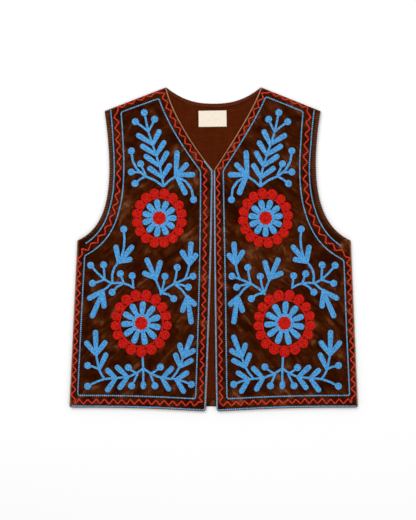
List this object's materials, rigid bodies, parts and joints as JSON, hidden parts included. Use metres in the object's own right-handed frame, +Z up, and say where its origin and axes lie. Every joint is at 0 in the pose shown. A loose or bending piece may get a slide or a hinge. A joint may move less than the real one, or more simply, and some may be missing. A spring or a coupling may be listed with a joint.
{
  "type": "embroidered vest",
  "caption": "Sleeveless open-fronted V-neck vest of lined velvet, laid flat on its back, with raised chain-stitch rosettes, leafy sprays and border lines.",
  "frame": {"origin": "under the middle of the vest, on the surface that its back lies on", "axes": "+Y from the hem to the neck, +X across, +Z up out of the fronts"},
  "size_m": [0.4771, 0.5361, 0.0096],
  "materials": {
    "velvet": "crushed cotton velvet",
    "lining": "plain woven lining",
    "label": "woven, bare",
    "blue_thread": "chain-stitched thread",
    "red_thread": "chain-stitched thread"
  },
  "bodies": {
    "root": {"back_panel": "velvet", "left_front": "velvet", "right_front": "velvet", "neck_facing": "lining", "hem_facing": "velvet", "back_lining": "lining", "label": "label", "left_armhole_line": "blue_thread", "left_frame": "blue_thread", "left_garland": "blue_thread", "left_inner_spray": "blue_thread", "left_outer_spray": "blue_thread", "left_top_spray": "blue_thread", "left_lower_rosette_daisy": "blue_thread", "left_lower_rosette_heart": "red_thread", "left_lower_rosette_ring": "red_thread", "left_upper_rosette_daisy": "blue_thread", "left_upper_rosette_heart": "red_thread", "left_upper_rosette_ring": "red_thread", "right_armhole_line": "blue_thread", "right_frame": "blue_thread", "right_garland": "blue_thread", "right_inner_spray": "blue_thread", "right_outer_spray": "blue_thread", "right_top_spray": "blue_thread", "right_lower_rosette_daisy": "blue_thread", "right_lower_rosette_heart": "red_thread", "right_lower_rosette_ring": "red_thread", "right_upper_rosette_daisy": "blue_thread", "right_upper_rosette_heart": "red_thread", "right_upper_rosette_ring": "red_thread"}
  },
  "joints": []
}
